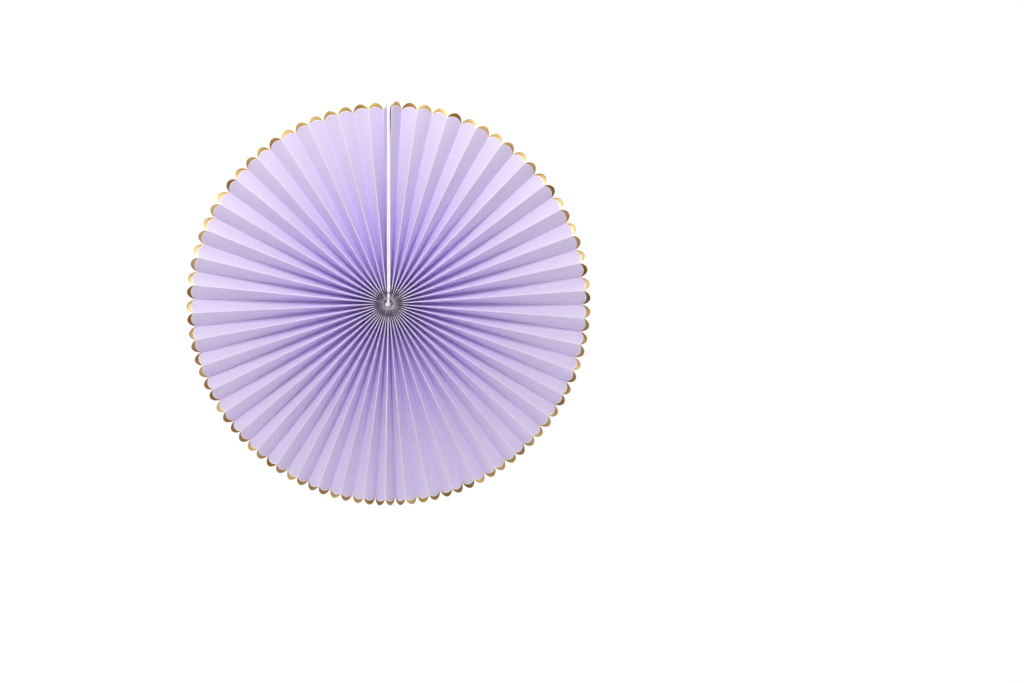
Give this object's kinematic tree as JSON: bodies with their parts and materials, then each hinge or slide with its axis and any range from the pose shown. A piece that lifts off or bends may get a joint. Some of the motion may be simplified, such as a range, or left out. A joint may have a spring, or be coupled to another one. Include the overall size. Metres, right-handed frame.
{
  "type": "paper fan rosette",
  "caption": "Round wall rosette of accordion-pleated printed paper with scalloped gold edges, tied at the hub with white thread and closed by a stiff card seam.",
  "frame": {"origin": "middle of the hub, halfway through the depth of the pleats", "axes": "+Z from the hub to the stiff seam at 12 o'clock, -Y out of the front of the disc, +Y into the wall that it hangs on, +X to the right as seen from the front"},
  "size_m": [0.4, 0.018, 0.4],
  "materials": {
    "pleated_paper": "matte lavender print with a metallic gold edge on the scallops",
    "white_card": "matte white",
    "seam_tape": "double-sided adhesive film",
    "hub_thread": "white twisted cotton"
  },
  "bodies": {
    "root": {"right_pleated_strip": "pleated_paper", "left_pleated_strip": "pleated_paper", "right_end_card": "white_card", "left_end_card": "white_card", "seam_tape": "seam_tape", "hub_thread": "hub_thread"}
  },
  "joints": []
}
